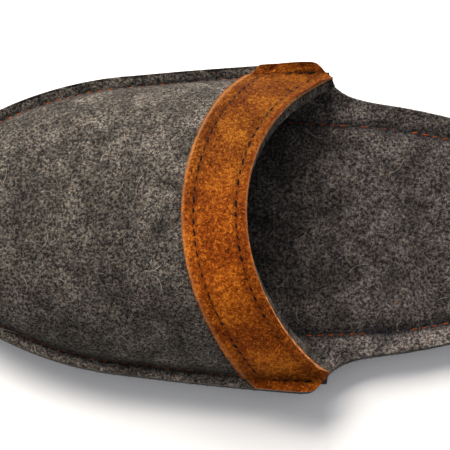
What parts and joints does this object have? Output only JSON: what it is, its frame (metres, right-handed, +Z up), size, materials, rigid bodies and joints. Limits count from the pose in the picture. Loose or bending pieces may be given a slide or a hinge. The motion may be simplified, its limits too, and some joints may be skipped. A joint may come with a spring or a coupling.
{
  "type": "felt slipper",
  "caption": "Backless felt house slipper: layered felt sole, arched felt vamp sewn to it edge to edge, and a tan suede band along the open throat.",
  "frame": {"origin": "on the floor under the middle of the slipper, half way from heel to toe", "axes": "+X from heel to toe, +Y across the foot to the wearer's left, +Z up"},
  "size_m": [0.27, 0.1134, 0.0532],
  "materials": {
    "outsole": "dark pressed wool felt",
    "footbed": "grey melange wool felt",
    "vamp": "grey melange wool felt",
    "throat_band": "tan suede with a short nap"
  },
  "bodies": {
    "root": {"outsole": "outsole", "footbed": "footbed", "vamp": "vamp", "throat_band": "throat_band"}
  },
  "joints": []
}
